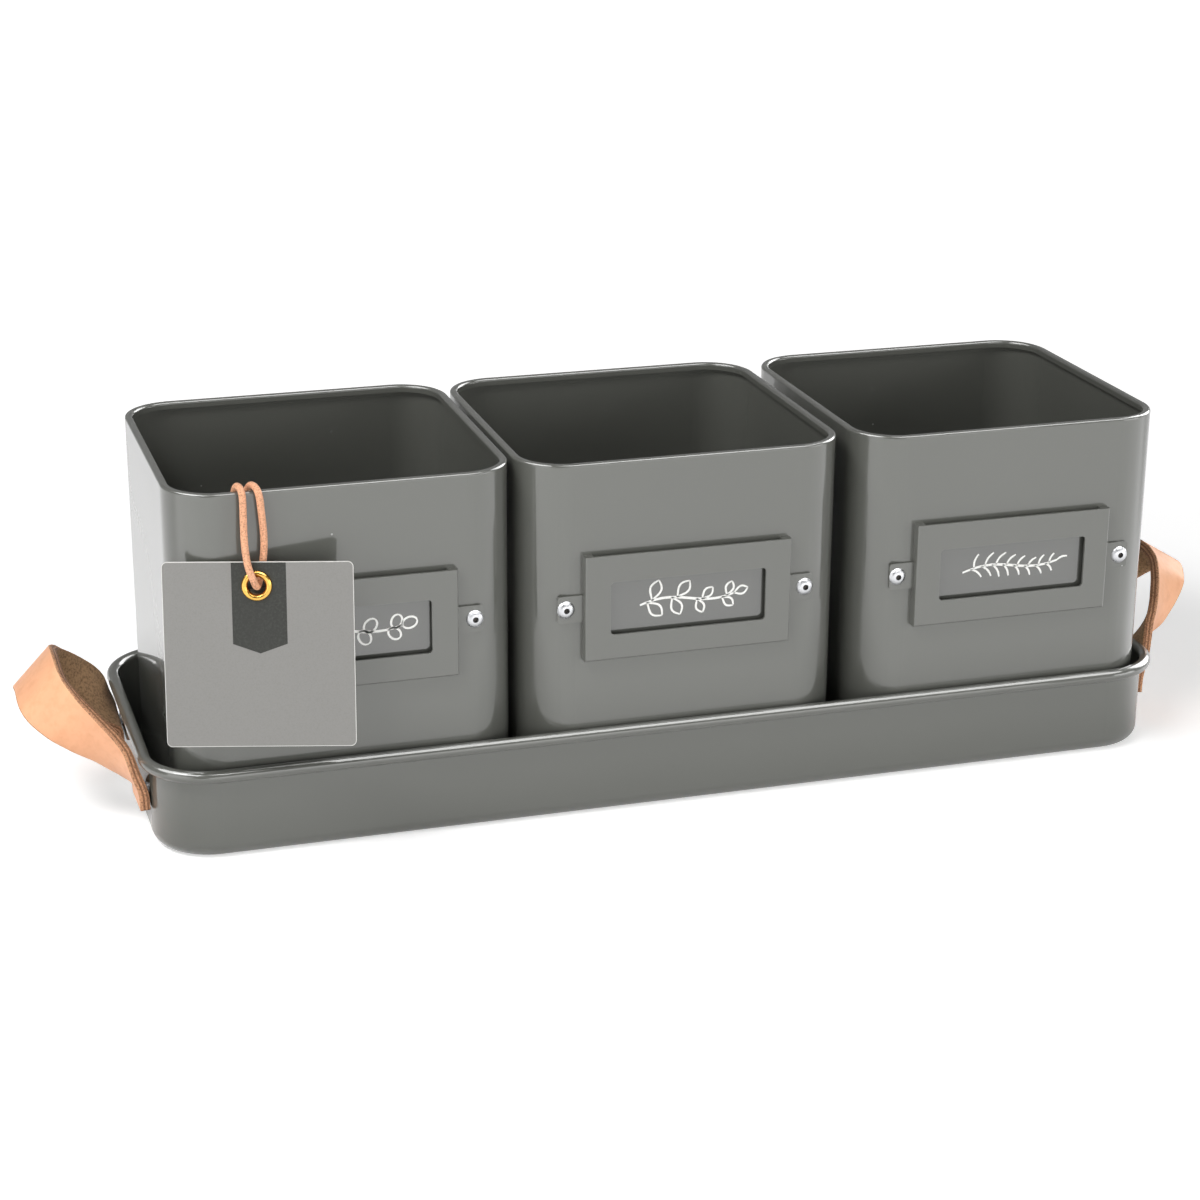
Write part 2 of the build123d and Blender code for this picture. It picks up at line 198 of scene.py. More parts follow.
def ownPlace(tree):
    return addNode(tree, "ShaderNodeTexCoord").outputs["Object"]


# Shared effects: the make of their noise and the range in which most of its values lie
texture = {
    "cloud": {"Detail": 1.0, "Roughness": 0.4},
    "cloudRange": (0.3, 0.7),
    "fine": {"Detail": 3.0, "Roughness": 0.55},
    "grains": {"Detail": 2.5, "Roughness": 0.7},
    "grainRange": (0.45, 0.7),
    "dustColour": (0.75, 0.75, 0.73, 1),
}


def perMetre(group, start):
    return mathNode(group, "DIVIDE", 1.0, start.outputs["Size"])


def noiseNode(group, scale, kind):
    inputs = {"Vector": ownPlace(group), "Scale": scale, **texture[kind]}
    return addNode(group, "ShaderNodeTexNoise", inputs).outputs["Fac"]


def makeMottle():
    group, start, end = newGroup(
        "mottle",
        [("Base", shade, (0.5, 0.5, 0.5, 1)), ("Size", number, 0.02), ("Spread", number, 0.06)],
        [("Color", shade), ("Mask", number)],
    )
    cloud = noiseNode(group, perMetre(group, start), "cloud")
    signed = mathNode(group, "SUBTRACT", cloud, 0.5)
    swing = mathNode(group, "MULTIPLY", signed, start.outputs["Spread"])
    factor = mathNode(group, "ADD", swing, 1.0)
    scaled = addNode(
        group,
        "ShaderNodeVectorMath",
        {0: start.outputs["Base"], "Scale": factor},
        operation="SCALE",
    )
    wire(group, end, {"Color": scaled.outputs[0], "Mask": cloud})
    return group


def makeFineBump():
    group, start, end = newGroup(
        "fineBump",
        [("Size", number, 0.001), ("Height", number, 0.00002), ("Roundness", number, 0.5)],
        [("Normal", direction), ("Height", number)],
    )
    scale = perMetre(group, start)
    pebbles = addNode(
        group,
        "ShaderNodeTexVoronoi",
        {"Vector": ownPlace(group), "Scale": scale},
        feature="SMOOTH_F1",
    )
    blend = addNode(
        group,
        "ShaderNodeMix",
        {
            0: start.outputs["Roundness"],
            2: noiseNode(group, scale, "fine"),
            3: pebbles.outputs["Distance"],
        },
        data_type="FLOAT",
    ).outputs[0]
    bump = addNode(
        group,
        "ShaderNodeBump",
        {"Height": blend, "Distance": start.outputs["Height"], "Strength": 1.0},
    )
    wire(group, end, {"Normal": bump.outputs["Normal"], "Height": blend})
    return group


def makeSpeckle():
    group, start, end = newGroup(
        "speckle",
        [
            ("Base", shade, (0.5, 0.5, 0.5, 1)),
            ("Spots", shade, (0.1, 0.1, 0.1, 1)),
            ("Size", number, 0.001),
            ("Amount", number, 0.3),
        ],
        [("Color", shade), ("Mask", number)],
    )
    grains = noiseNode(group, perMetre(group, start), "grains")
    raised = remap(group, grains, *texture["grainRange"], 0.0, 1.0)
    share = mathNode(group, "MULTIPLY", raised, start.outputs["Amount"])
    mixed = mixColour(group, share, start.outputs["Base"], start.outputs["Spots"])
    wire(group, end, {"Color": mixed, "Mask": raised})
    return group


def makeDust():
    group, start, end = newGroup(
        "dust",
        [
            ("Base", shade, (0.5, 0.5, 0.5, 1)),
            ("Size", number, 0.006),
            ("Dot", number, 0.05),
            ("Share", number, 0.12),
            ("Strength", number, 0.3),
        ],
        [("Color", shade), ("Mask", number)],
    )
    cells = addNode(
        group,
        "ShaderNodeTexVoronoi",
        {"Vector": ownPlace(group), "Scale": perMetre(group, start)},
    )
    chance = addNode(group, "ShaderNodeSeparateColor", {0: cells.outputs["Color"]}).outputs[0]
    chosen = mathNode(group, "LESS_THAN", chance, start.outputs["Share"])
    close = mathNode(group, "LESS_THAN", cells.outputs["Distance"], start.outputs["Dot"])
    mask = mathNode(group, "MULTIPLY", chosen, close)
    share = mathNode(group, "MULTIPLY", mask, start.outputs["Strength"])
    mixed = mixColour(group, share, start.outputs["Base"], texture["dustColour"])
    wire(group, end, {"Color": mixed, "Mask": mask})
    return group


mottle = makeMottle()
dust = makeDust()
fineBump = makeFineBump()
speckle = makeSpeckle()
print("shared effects made")


# Finishes: each has the shader's own values, then what the shared effects are given
paint = {
    "shader": {
        "IOR": 1.5,
        "Specular IOR Level": 0.3,
        "Coat Weight": 1.0,
        "Coat IOR": 1.5,
        "Coat Roughness": 0.035,
    },
    "cloud": {"Base": colour(90, 91, 86), "Size": 0.07, "Spread": 0.06},
    "bump": {"Size": 0.0022, "Height": 0.000004, "Roundness": 0.3},
    "dust": {"Size": 0.009, "Dot": 0.045, "Share": 0.1},
    "roughness": (0.28, 0.32),
}


def glossOver(tree, cloud, limits):
    return remap(tree, cloud.outputs["Mask"], *texture["cloudRange"], *limits)


def makePaint(name, settings):
    material, tree, shader = newMaterial(name, **settings["shader"])
    cloud = useGroup(tree, mottle, **settings["cloud"])
    peel = useGroup(tree, fineBump, **settings["bump"])
    specks = useGroup(tree, dust, Base=cloud.outputs["Color"], **settings["dust"])
    links = {
        "Base Color": specks.outputs["Color"],
        "Roughness": glossOver(tree, cloud, settings["roughness"]),
        "Normal": peel.outputs["Normal"],
        "Coat Normal": peel.outputs["Normal"],
    }
    wire(tree, shader, links)
    return material


smoothFinishes = {
    "cardPaper": {
        "shader": {"IOR": 1.55, "Coat Weight": 1.0, "Coat Roughness": 0.05},
        "cloud": {"Base": colour(72, 73, 69), "Size": 0.012, "Spread": 0.05},
        "bump": {"Size": 0.0008, "Height": 0.000002, "Roundness": 0.1},
        "roughness": (0.09, 0.12),
    },
    "rivetAluminium": {
        "shader": {"Metallic": 1.0},
        "cloud": {"Base": colour(176, 177, 179), "Size": 0.002, "Spread": 0.18},
        "bump": {"Size": 0.0004, "Height": 0.000003, "Roundness": 0.2},
        "roughness": (0.252, 0.504),
    },
    # Mandrel steel painted near-black: the steel's own darker tone plus painted shade of the
    # hollow in each rivet head
    "mandrelSteelPaintedShade": {
        "shader": {"Metallic": 1.0},
        "cloud": {"Base": colour(58, 56, 54), "Size": 0.002, "Spread": 0.18},
        "bump": {"Size": 0.0003, "Height": 0.00002, "Roundness": 0.2},
        "roughness": (0.35, 0.7),
    },
    "eyeletBrass": {
        "shader": {"Metallic": 1.0},
        "cloud": {"Base": colour(196, 154, 78), "Size": 0.002, "Spread": 0.18},
        "bump": {"Size": 0.0005, "Height": 0.000003, "Roundness": 0.2},
        "roughness": (0.14, 0.28),
    },
}


def makeSmooth(name, settings):
    material, tree, shader = newMaterial(name, **settings["shader"])
    cloud = useGroup(tree, mottle, **settings["cloud"])
    marks = useGroup(tree, fineBump, **settings["bump"])
    links = {
        "Base Color": cloud.outputs["Color"],
        "Roughness": glossOver(tree, cloud, settings["roughness"]),
        "Normal": marks.outputs["Normal"],
    }
    wire(tree, shader, links)
    return material


leatherBase = {
    "shader": {"IOR": 1.45, "Sheen Weight": 0.08},
    "cloud": {"Size": 0.015, "Spread": 0.2},
    "grainRange": (0.2, 0.8),
    "roughnessSwing": 0.08,
}
leathers = {
    "leatherGrain": {
        "base": (240, 178, 136), "spots": (208, 134, 92), "spotSize": 0.004, "amount": 0.25,
        "roughness": 0.5, "bumpSize": 0.0009, "bumpHeight": 0.00003, "roundness": 0.7,
    },
    "leatherFlesh": {
        "base": (198, 158, 119), "spots": (112, 84, 60), "spotSize": 0.0010, "amount": 0.8,
        "roughness": 0.88, "bumpSize": 0.0008, "bumpHeight": 0.00009, "roundness": 0.25,
    },
    "leatherCut": {
        "base": (206, 152, 114), "spots": (84, 54, 37), "spotSize": 0.0006, "amount": 1.0,
        "roughness": 0.8, "bumpSize": 0.0007, "bumpHeight": 0.0001, "roundness": 0.2,
    },
    "leatherLayer": {
        "base": (148, 104, 74), "spots": (66, 42, 28), "spotSize": 0.0005, "amount": 1.0,
        "roughness": 0.85, "bumpSize": 0.0006, "bumpHeight": 0.00012, "roundness": 0.1,
    },
    "laceLeather": {
        "base": (234, 174, 136), "spots": (132, 78, 54), "spotSize": 0.0006, "amount": 0.75,
        "roughness": 0.6, "bumpSize": 0.0006, "bumpHeight": 0.00005, "roundness": 0.4,
    },
}


def makeLeather(name, settings):
    material, tree, shader = newMaterial(name, **leatherBase["shader"])
    spots = useGroup(
        tree,
        speckle,
        Base=colour(*settings["base"]),
        Spots=colour(*settings["spots"]),
        Size=settings["spotSize"],
        Amount=settings["amount"],
    )
    cloud = useGroup(tree, mottle, Base=spots.outputs["Color"], **leatherBase["cloud"])
    grain = useGroup(
        tree,
        fineBump,
        Size=settings["bumpSize"],
        Height=settings["bumpHeight"],
        Roundness=settings["roundness"],
    )
    swing = leatherBase["roughnessSwing"]
    limits = (settings["roughness"] - swing, settings["roughness"] + swing)
    links = {
        "Base Color": cloud.outputs["Color"],
        "Roughness": remap(tree, grain.outputs["Height"], *leatherBase["grainRange"], *limits),
        "Normal": grain.outputs["Normal"],
    }
    wire(tree, shader, links)
    return material


# Middle of the left pot and its front face, in metres
potLeftX, potFrontY = -0.1286, -0.0635

# The tag lies in a plane: its hole's middle, its turn and lean in degrees, then its outline and
# the pennant printed on it, measured from its left and top edges
tag = {
    "hole": (potLeftX - 0.0346, potFrontY - 0.0069, 0.1061),
    "turn": 15.3,
    "lean": 7.0,
    "size": 0.0674,
    "holeShift": 0.0004,
    "holeDrop": 0.0086,
    "pennantLeft": 0.0244,
    "pennantRight": 0.0437,
    "pennantShoulder": 0.0297,
    "pennantPoint": 0.0332,
    "corner": 0.002,
    "paleRim": 0.00018,
    "frontFrom": 0.5,
    "sideTo": 0.7,
    "shader": {"IOR": 1.45, "Roughness": 0.62},
    "core": colour(222, 221, 217),
    "board": {
        "Base": colour(133, 132, 129),
        "Spots": colour(126, 124, 121),
        "Size": 0.0006,
        "Amount": 0.7,
    },
    "pennant": {
        "Base": colour(33, 34, 30),
        "Spots": colour(56, 57, 53),
        "Size": 0.0008,
        "Amount": 0.6,
    },
    "fibre": {"Size": 0.0007, "Height": 0.00001, "Roundness": 0.1},
}


def tagAxes(settings):
    yaw, pitch = math.radians(settings["turn"]), math.radians(settings["lean"])
    across = Vector((math.cos(yaw), -math.sin(yaw), 0))
    out = Vector(
        (-math.sin(yaw) * math.cos(pitch), -math.cos(yaw) * math.cos(pitch), math.sin(pitch))
    )
    return across, out.cross(across), out


def makeTagBoard(name, settings):
    material, tree, shader = newMaterial(name, **settings["shader"])
    across, up, out = tagAxes(settings)
    fromHole = vectorNode(tree, "SUBTRACT", ownPlace(tree), Vector(settings["hole"]))

    def along(start, way):
        return vectorNode(tree, "DOT_PRODUCT", start, way, output="Value")

    half = settings["size"] / 2
    fromLeft = mathNode(tree, "ADD", along(fromHole, across), half - settings["holeShift"])
    fromTop = mathNode(tree, "SUBTRACT", settings["holeDrop"], along(fromHole, up))

    middle = (settings["pennantLeft"] + settings["pennantRight"]) / 2
    halfPennant = (settings["pennantRight"] - settings["pennantLeft"]) / 2
    aside = mathNode(tree, "ABSOLUTE", mathNode(tree, "SUBTRACT", fromLeft, middle))
    slope = (settings["pennantPoint"] - settings["pennantShoulder"]) / halfPennant
    drop = mathNode(tree, "MULTIPLY", aside, slope)
    lowest = mathNode(tree, "SUBTRACT", settings["pennantPoint"], drop)
    within = mathNode(tree, "LESS_THAN", aside, halfPennant)
    inside = mathNode(tree, "MULTIPLY", within, mathNode(tree, "LESS_THAN", fromTop, lowest))

    facing = along(addNode(tree, "ShaderNodeTexCoord").outputs["Normal"], out)
    isFront = mathNode(tree, "GREATER_THAN", facing, settings["frontFrom"])
    printed = mathNode(tree, "MULTIPLY", inside, isFront)
    turned = mathNode(tree, "ABSOLUTE", facing)
    isSide = mathNode(tree, "LESS_THAN", turned, settings["sideTo"])

    squares = []
    for place in (fromLeft, fromTop):
        inset = mathNode(tree, "ABSOLUTE", mathNode(tree, "SUBTRACT", place, half))
        past = mathNode(tree, "SUBTRACT", inset, half - settings["corner"])
        past = mathNode(tree, "MAXIMUM", past, 0.0)
        squares.append(mathNode(tree, "MULTIPLY", past, past))
    outward = mathNode(tree, "SQRT", mathNode(tree, "ADD", *squares))
    rim = mathNode(tree, "GREATER_THAN", outward, settings["corner"] - settings["paleRim"])
    isEdge = mathNode(tree, "MAXIMUM", isSide, rim)

    board = useGroup(tree, speckle, **settings["board"])
    ink = useGroup(tree, speckle, **settings["pennant"])
    face = mixColour(tree, printed, board.outputs["Color"], ink.outputs["Color"])
    fibre = useGroup(tree, fineBump, **settings["fibre"])
    links = {
        "Base Color": mixColour(tree, isEdge, face, settings["core"]),
        "Normal": fibre.outputs["Normal"],
    }
    wire(tree, shader, links)
    return material


whitePrint = {
    "shader": {"IOR": 1.45},
    "flecks": {
        "Base": colour(244, 244, 240),
        "Spots": colour(214, 214, 208),
        "Size": 0.0006,
        "Amount": 0.4,
    },
    "fibre": {"Size": 0.0005, "Height": 0.000004, "Roundness": 0.1},
    "roughness": (0.4, 0.55),
}


def makeInk(name, settings):
    material, tree, shader = newMaterial(name, **settings["shader"])
    flecks = useGroup(tree, speckle, **settings["flecks"])
    fibre = useGroup(tree, fineBump, **settings["fibre"])
    links = {
        "Base Color": flecks.outputs["Color"],
        "Roughness": remap(tree, flecks.outputs["Mask"], 0.0, 1.0, *settings["roughness"]),
        "Normal": fibre.outputs["Normal"],
    }
    wire(tree, shader, links)
    return material


greyPaint = makePaint("greyPaint", paint)
finishes = {name: makeSmooth(name, settings) for name, settings in smoothFinishes.items()}
finishes.update({name: makeLeather(name, settings) for name, settings in leathers.items()})
tagBoard = makeTagBoard("tagBoard", tag)
whiteInk = makeInk("whiteInk", whitePrint)


def dress(material, *names):
    for name in names:
        slots = nodes[name].data.materials
        for index in range(len(slots)):
            slots[index] = material
        if not slots:
            slots.append(material)


dress(greyPaint, "tray")
for row in rows:
    dress(greyPaint, f"pot_{row}", f"label_holder_{row}")
    dress(finishes["rivetAluminium"], f"label_rivets_{row}")
    dress(finishes["mandrelSteelPaintedShade"], f"rivet_mandrels_{row}")
    dress(finishes["cardPaper"], f"label_card_{row}")
dress(finishes["rivetAluminium"], "left_strap_rivets", "right_strap_rivets")
dress(finishes["eyeletBrass"], "tag_eyelet", "eyelet_washer")
dress(tagBoard, "swing_tag")
print("finishes made")


# Lace of the tag, over the rim of the left pot with both ends in one knot
lace = {
    "diameter": 0.0026,
    "length": 0.172,
    "order": 3,
    "resolution": 12,
    "roundness": 6,
    # across from the left pot's middle, back from its front face, up from the table, in mm
    "route": [
        (-40.0, 8.0, 98.0), (-40.0, 8.0, 106.0), (-40.5, 6.2, 118.5), (-40.2, 4.7, 131.0),
        (-39.0, 4.7, 140.6), (-37.7, -3.2, 140.6), (-37.8, -3.4, 131.0), (-38.1, -4.8, 121.0),
        (-37.6, -7.5, 113.5), (-36.2, -10.0, 109.2), (-34.6, -7.2, 105.3), (-33.0, -2.8, 105.9),
        (-31.4, -3.1, 112.8), (-30.6, -3.3, 121.5), (-31.2, -3.1, 131.0), (-32.0, -3.2, 140.6),
        (-34.4, 4.7, 140.6), (-35.6, 4.7, 131.5), (-36.6, 6.3, 118.5), (-37.0, 8.0, 106.0),
        (-37.0, 8.0, 98.0),
    ],
}


def curvePiece(name, points, settings):
    data = bpy.data.curves.new(name, "CURVE")
    data.dimensions = "3D"
    spline = data.splines.new("NURBS")
    spline.points.add(len(points) - 1)
    for point, place in zip(spline.points, points):
        point.co = (*place, 1.0)
    spline.order_u = settings["order"]
    spline.use_endpoint_u = True
    spline.resolution_u = settings["resolution"]
    data.bevel_depth = settings["diameter"] / 2
    data.bevel_resolution = settings["roundness"]
    data.use_fill_caps = True
    return newObject(name, data)


lacePoints = [(potLeftX + x * mm, potFrontY + y * mm, z * mm) for x, y, z in lace["route"]]
tagLace = curvePiece("tag_lace", lacePoints, lace)
tagLace.data.materials.append(finishes["laceLeather"])
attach(tagLace, "tag")
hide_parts("tag_cord")
print("lace hung")

# Knot of the lace inside the pot: one turn tied round both ends, which hang below it. A tail
# starts and bends at places given as aside and up from the lace's ends
knot = {
    "radius": 0.0032, "rise": 0.0022, "strand": 0.0026, "tail": 0.011, "spread": 12.0,
    "tailStart": (0.0015, 0.0003), "tailBend": (0.0013, -0.0035), "bendSteps": 5,
    "tailSteps": 12, "turnSteps": 96, "sides": 14, "wobble": 0.05, "wobbleStep": 0.35,
}


def tubeMesh(shape, path, closed=False):
    rings = []
    count = len(path)
    sides = knot["sides"]
    side = None
    for index, place in enumerate(path):
        before = path[index - 1] if index or closed else path[0]
        after = path[(index + 1) % count] if index + 1 < count or closed else path[-1]
        along = (after - before).normalized()
        if side is None:
            side = along.orthogonal()
        side = (side - along * side.dot(along)).normalized()
        other = along.cross(side)
        ring = []
        for step in range(sides):
            angle = 2 * math.pi * step / sides
            spot = Vector((index * knot["wobbleStep"], math.cos(angle), math.sin(angle)))
            wobble = 1 + knot["wobble"] * noise.noise(spot)
            offset = side * math.cos(angle) + other * math.sin(angle)
            ring.append(shape.verts.new(place + offset * (knot["strand"] / 2) * wobble))
        rings.append(ring)
    for index in range(count if closed else count - 1):
        first, second = rings[index], rings[(index + 1) % count]
        shift = 0
        if closed and index == count - 1:
            gaps = [(first[0].co - vert.co).length for vert in second]
            shift = gaps.index(min(gaps))
        for step in range(sides):
            after = (step + 1) % sides
            near, far = second[(after + shift) % sides], second[(step + shift) % sides]
            shape.faces.new((first[step], first[after], near, far))
    if not closed:
        shape.faces.new(rings[0])
        shape.faces.new(rings[-1])


def buildKnot(shape):
    top = (Vector(lacePoints[0]) + Vector(lacePoints[-1])) / 2
    middle = top - Vector((0, 0, knot["rise"] + knot["strand"] / 2))
    turns = []
    for step in range(knot["turnSteps"]):
        angle = 2 * math.pi * step / knot["turnSteps"]
        offset = (
            (math.sin(angle) + 2 * math.sin(2 * angle)) / 3 * knot["radius"],
            (math.cos(angle) - 2 * math.cos(2 * angle)) / 3 * knot["radius"],
            -math.sin(3 * angle) * knot["rise"],
        )
        turns.append(middle + Vector(offset))
    tubeMesh(shape, turns, closed=True)
    (startAside, startUp), (bendAside, bendUp) = knot["tailStart"], knot["tailBend"]
    bendSteps, tailSteps = knot["bendSteps"], knot["tailSteps"]
    for side in (-1, 1):
        start = top + Vector((side * startAside, 0, startUp))
        bend = top + Vector((side * bendAside, 0, bendUp))
        spread = math.radians(side * knot["spread"])
        way = Vector((math.sin(spread), 0, -math.cos(spread))) * (knot["tail"] - bendUp)
        tail = [start.lerp(bend, step / bendSteps) for step in range(bendSteps + 1)]
        tail += [bend + way * (step / tailSteps) for step in range(1, tailSteps + 1)]
        tubeMesh(shape, tail)


tagKnot = newObject("tag_lace_knot", meshFrom("tag_lace_knot", buildKnot))
for face in tagKnot.data.polygons:
    face.use_smooth = True
tagKnot.data.materials.append(finishes["laceLeather"])
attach(tagKnot, "tag")
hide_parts("tag_knot")
print("knot tied")

# Strap handles: each station gives out, across and up as shares of reach, half spacing and
# rise, then the turn of the strap's width and its dip below level, in degrees
straps = {
    "left": {
        "side": -1, "spacing": 0.070, "reach": 0.0322, "rise": 0.0405,
        "stations": [
            (0.00, 1.01, 0.00, 0, 3), (0.02, 1.00, 0.15, 1, 9), (0.13, 0.95, 0.29, 9, 20),
            (0.23, 0.90, 0.40, 19, 30), (0.36, 0.85, 0.51, 27, 37), (0.50, 0.80, 0.60, 35, 44),
            (0.63, 0.74, 0.68, 46, 48), (0.76, 0.68, 0.76, 58, 50), (0.87, 0.59, 0.84, 71, 49),
            (0.95, 0.47, 0.90, 80, 46), (0.99, 0.33, 0.95, 85, 45), (1.00, 0.00, 1.00, 90, 46),
        ],
    },
    "right": {
        "side": 1, "spacing": 0.068, "reach": 0.0297, "rise": 0.0434,
        "stations": [
            (0.00, 1.00, 0.00, 0, 2), (0.03, 0.98, 0.15, 1, 6), (0.12, 0.95, 0.30, 4, 12),
            (0.21, 0.90, 0.41, 10, 21), (0.31, 0.84, 0.50, 18, 31), (0.44, 0.79, 0.58, 29, 40),
            (0.56, 0.73, 0.66, 42, 45), (0.67, 0.64, 0.75, 54, 47), (0.77, 0.54, 0.83, 67, 47),
            (0.86, 0.43, 0.90, 78, 44), (0.93, 0.30, 0.95, 86, 39), (1.00, 0.00, 1.00, 90, 31),
        ],
    },
}
leatherCut = {
    "wall": 0.2034, "footHeight": 0.0135, "width": 0.0211, "thickness": 0.0038,
    "edgeRound": 0.0005, "bevel": 0.29, "faceSteps": 12, "steps": 8,
    "fuzz": 0.00007, "fuzzScale": 900, "fuzzBelow": 0.45,
    "layers": ("cut", "layer", "cut", "layer", "cut"),
}


def strapStations(strap):
    half = []
    for out, across, up, turn, dip in strap["stations"]:
        turn, dip = math.radians(turn), math.radians(dip)
        place = Vector(
            (
                strap["side"] * (leatherCut["wall"] + out * strap["reach"]),
                -across * strap["spacing"] / 2,
                leatherCut["footHeight"] + up * strap["rise"],
            )
        )
        width = Vector(
            (
                strap["side"] * math.sin(turn) * math.cos(dip),
                math.cos(turn) * math.cos(dip),
                -math.sin(dip),
            )
        )
        half.append((place, width))
    rear = [
        (Vector((p.x, -p.y, p.z)), Vector((w.x, -w.y, w.z))) for p, w in reversed(half[:-1])
    ]
    return half + rear


def smoothThrough(values, knots, at):
    index = max(i for i in range(len(knots) - 1) if knots[i] <= at or i == 0)
    low, high = knots[index], knots[index + 1]
    share = (at - low) / (high - low)

    def slope(i):
        before, after = max(i - 1, 0), min(i + 1, len(values) - 1)
        return (values[after] - values[before]) / (knots[after] - knots[before])

    step = high - low
    a, b = values[index], values[index + 1]
    s2, s3 = share * share, share**3
    return (
        a * (2 * s3 - 3 * s2 + 1)
        + slope(index) * step * (s3 - 2 * s2 + share)
        + b * (3 * s2 - 2 * s3)
        + slope(index + 1) * step * (s3 - s2)
    )


# Outline of the strap's cross section, across and out, with the kind of leather from each
# point to the next: grain side, one cut side, flesh side, the other cut side
def strapSection():
    halfWidth = leatherCut["width"] / 2
    halfThick = leatherCut["thickness"] / 2
    r = leatherCut["edgeRound"]
    bevel = r * leatherCut["bevel"]
    layers = leatherCut["layers"]
    wide, thick = 2 * halfWidth - 2 * r, 2 * halfThick - 2 * r
    count = leatherCut["faceSteps"]
    points, kinds = [], []
    for step in range(count + 1):
        points.append((-halfWidth + r + wide * step / count, halfThick))
        kinds.append("grain" if step < count else "cut")
    points.append((halfWidth - bevel, halfThick - bevel))
    kinds.append("cut")
    for step, kind in enumerate(layers):
        points.append((halfWidth, halfThick - r - thick * step / (len(layers) - 1)))
        kinds.append(kind)
    points.append((halfWidth - bevel, -halfThick + bevel))
    kinds.append("cut")
    for step in range(count + 1):
        points.append((halfWidth - r - wide * step / count, -halfThick))
        kinds.append("flesh" if step < count else "cut")
    points.append((-halfWidth + bevel, -halfThick + bevel))
    kinds.append("cut")
    for step, kind in enumerate((*reversed(layers[:-1]), layers[-1])):
        points.append((-halfWidth, -halfThick + r + thick * step / (len(layers) - 1)))
        kinds.append(kind)
    points.append((-halfWidth + bevel, halfThick - bevel))
    kinds.append("cut")
    return points, kinds


def buildStrap(strap):
    stations = strapStations(strap)
    knots = [0.0]
    for (a, _), (b, _) in zip(stations, stations[1:]):
        knots.append(knots[-1] + (b - a).length)
    places = [place for place, _ in stations]
    widths = [width for _, width in stations]
    section, kinds = strapSection()
    order = {"grain": 0, "flesh": 1, "cut": 2, "layer": 3}

    def build(shape):
        spans = (len(stations) - 1) * leatherCut["steps"]
        marks = [knots[-1] * step / spans for step in range(spans + 1)]
        centres = [smoothThrough(places, knots, mark) for mark in marks]
        rings = []
        for index, mark in enumerate(marks):
            before, after = centres[max(index - 1, 0)], centres[min(index + 1, spans)]
            along = (after - before).normalized()
            width = smoothThrough(widths, knots, mark)
            width = (width - along * width.dot(along)).normalized()
            out = along.cross(width) * (-strap["side"])
            ring = []
            for u, v in section:
                offset = width * u + out * v
                place = centres[index] + offset
                roughly = noise.noise(place * leatherCut["fuzzScale"]) * leatherCut["fuzz"]
                if v < leatherCut["thickness"] * leatherCut["fuzzBelow"]:
                    place = place + offset.normalized() * roughly
                ring.append(shape.verts.new(place))
            rings.append(ring)
        count = len(section)
        for first, second in zip(rings, rings[1:]):
            for step in range(count):
                after = (step + 1) % count
                face = shape.faces.new((first[step], first[after], second[after], second[step]))
                face.material_index = order[kinds[step]]
                face.smooth = True
        for ring in (rings[0], rings[-1]):
            face = shape.faces.new(ring)
            face.material_index = order["cut"]

    return build


for side in ("left", "right"):
    name = f"{side}_strap"
    band = newObject(name, meshFrom(name, buildStrap(straps[side])))
    for finish in ("leatherGrain", "leatherFlesh", "leatherCut", "leatherLayer"):
        band.data.materials.append(finishes[finish])
    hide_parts(f"{side}_strap_loop", f"{side}_strap_front_foot", f"{side}_strap_rear_foot")
    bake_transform(band)
print("straps bent")

# Printed sprigs on the label cards, one kind of leaf to each card, sizes in mm
sprigs = {
    "left": {"leaf": "round", "length": 40, "pairs": 4, "size": 8.0, "line": 1.0, "seed": 3},
    "middle": {"leaf": "pointed", "length": 37, "pairs": 4, "size": 8.4, "line": 1.0, "seed": 5},
    "right": {"leaf": "needle", "length": 40, "pairs": 8, "size": 6.4, "line": 1.0, "seed": 8},
}
printed = {
    "lift": 0.00003, "thickness": 0.00006, "stemWave": 2.0, "stemSlope": 0.09,
    "stemTurn": 5.2, "stemStart": 0.4, "firstPair": 0.1, "pairSpan": 0.8, "taper": 0.35,
    "sizes": (0.92, 1.08), "angles": (48, 60), "stagger": 0.12, "leafWeight": 0.8, "tipSize": 0.7,
    "needleBow": 0.12, "roundHalf": 0.38, "pointedHalf": 0.27, "pointedShift": 1.25,
    "endWidth": 0.7, "swellPower": 0.6, "stemPoints": 60, "leafPoints": 21, "needlePoints": 7,
}


def steps(count):
    return [index / (count - 1) for index in range(count)]


def leafStrokes(kind, base, way, size):
    aside = Vector((-way.y, way.x))
    if kind == "needle":
        bow = aside * size * printed["needleBow"]
        shares = steps(printed["needlePoints"])
        return [[base + way * size * t + bow * math.sin(math.pi * t) for t in shares]]
    edges = []
    for turn in (1, -1):
        edge = []
        for t in steps(printed["leafPoints"]):
            if kind == "round":
                along = (1 - math.cos(math.pi * t)) / 2
                out = printed["roundHalf"] * math.sin(math.pi * t)
            else:
                along = t
                out = printed["pointedHalf"] * math.sin(math.pi * t ** printed["pointedShift"])
            edge.append(base + way * size * along + aside * turn * size * out)
        edges.append(edge)
    return edges


